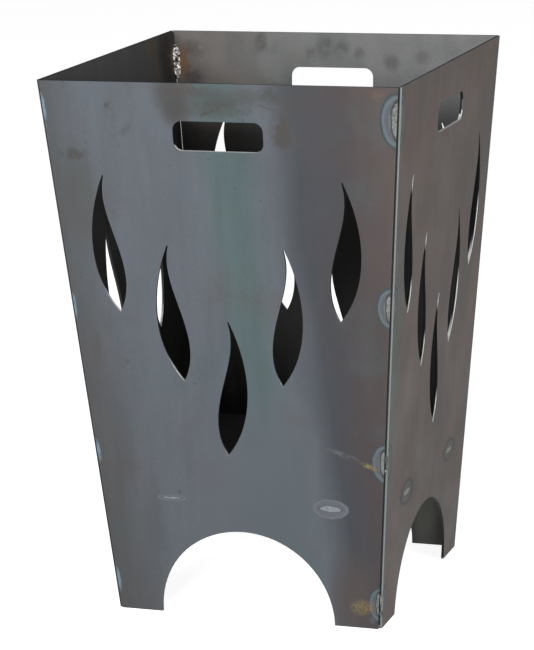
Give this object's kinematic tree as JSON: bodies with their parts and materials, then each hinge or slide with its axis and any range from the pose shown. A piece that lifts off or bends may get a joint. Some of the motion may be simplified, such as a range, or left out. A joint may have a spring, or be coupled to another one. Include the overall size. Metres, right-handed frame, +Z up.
{
  "type": "fire basket",
  "caption": "Square fire basket of raw steel plate, wider at the rim, with flame-shaped openings, hand slots, arched feet and a raised floor plate.",
  "frame": {"origin": "on the ground, in the middle between the four feet", "axes": "+Z up, -Y out of the front panel, +X out of the right panel"},
  "size_m": [0.402, 0.402, 0.598],
  "materials": {
    "steel_plate": "raw mill scale, satin",
    "floor_steel": "raw mill scale, satin",
    "weld_bead": "rippled weld metal"
  },
  "bodies": {
    "root": {"front_panel": "steel_plate", "right_panel": "steel_plate", "back_panel": "steel_plate", "left_panel": "steel_plate", "floor_plate": "floor_steel", "corner_weld_front_right_1": "weld_bead", "corner_weld_front_right_2": "weld_bead", "corner_weld_front_right_3": "weld_bead", "corner_weld_front_right_4": "weld_bead", "corner_weld_back_right_1": "weld_bead", "corner_weld_back_right_2": "weld_bead", "corner_weld_back_right_3": "weld_bead", "corner_weld_back_right_4": "weld_bead", "corner_weld_back_left_1": "weld_bead", "corner_weld_back_left_2": "weld_bead", "corner_weld_back_left_3": "weld_bead", "corner_weld_back_left_4": "weld_bead", "corner_weld_front_left_1": "weld_bead", "corner_weld_front_left_2": "weld_bead", "corner_weld_front_left_3": "weld_bead", "corner_weld_front_left_4": "weld_bead", "floor_weld_front_1": "weld_bead", "floor_weld_front_2": "weld_bead", "floor_weld_right_1": "weld_bead", "floor_weld_right_2": "weld_bead", "floor_weld_back_1": "weld_bead", "floor_weld_back_2": "weld_bead", "floor_weld_left_1": "weld_bead", "floor_weld_left_2": "weld_bead"}
  },
  "joints": []
}
